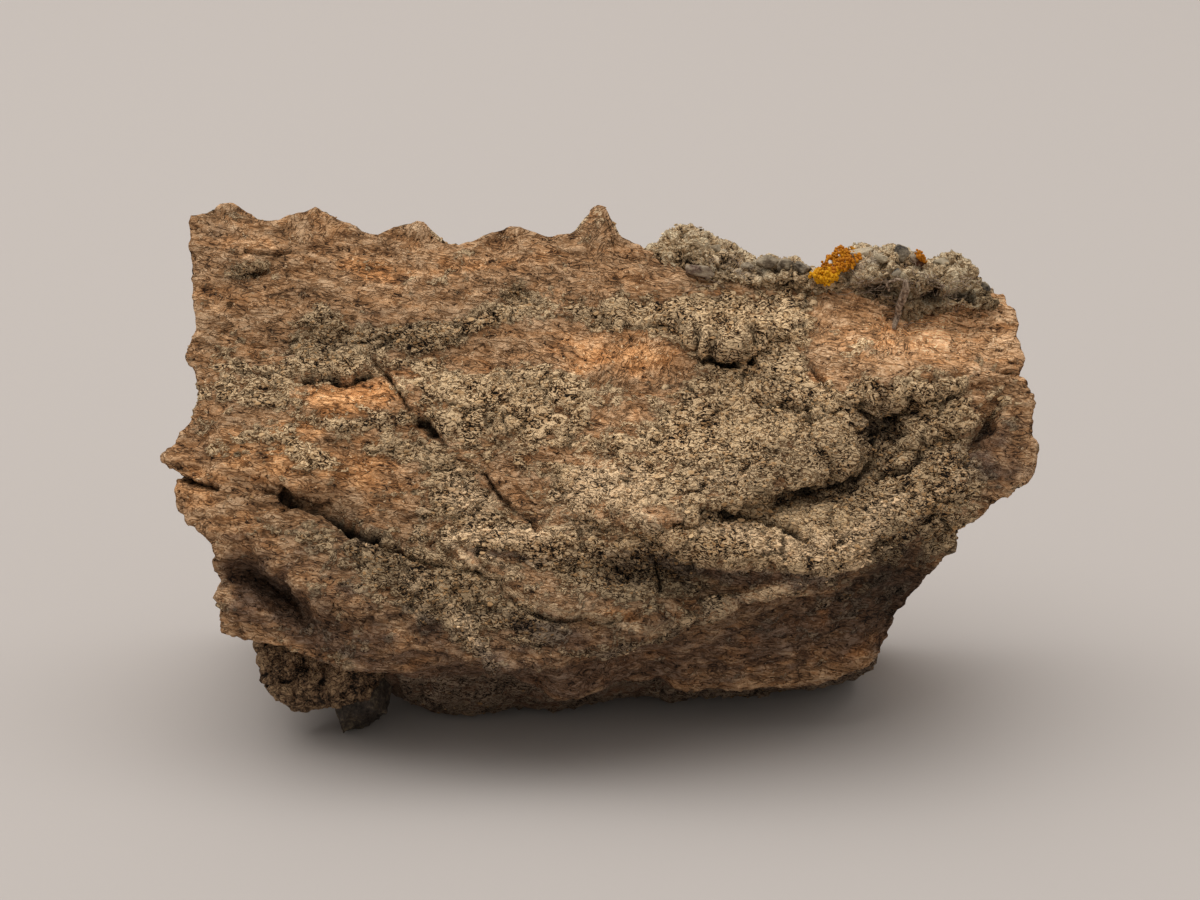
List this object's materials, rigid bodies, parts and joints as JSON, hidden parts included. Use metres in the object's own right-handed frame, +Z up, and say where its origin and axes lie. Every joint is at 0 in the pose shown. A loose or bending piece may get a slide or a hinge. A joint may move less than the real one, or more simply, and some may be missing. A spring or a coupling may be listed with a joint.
{
  "type": "fossil jaw fragment",
  "caption": "Broken block of fossil jaw bone with a scalloped tooth-slot rim, cracked clay crust, a gravelly sediment cap, a dark stone foot, a lichen patch and a rootlet.",
  "frame": {"origin": "centre of the bounding box's base, on the surface that the fossil lies on", "axes": "+X along the jaw, with the sediment cap at the +X end; -Y towards the broad outer face, which leans back 20 degrees; +Z up, towards the tooth rim"},
  "size_m": [0.0995, 0.0458, 0.0609],
  "materials": {
    "fossil_bone": "matte",
    "sediment": "matte",
    "ironstone": "matte",
    "lichen": "matte",
    "root": "matte"
  },
  "bodies": {
    "root": {"jaw_bone": "fossil_bone", "sediment_cap": "sediment", "stone_foot": "ironstone", "lichen_patch": "lichen", "lichen_fleck": "lichen", "rootlet": "root"}
  },
  "joints": []
}
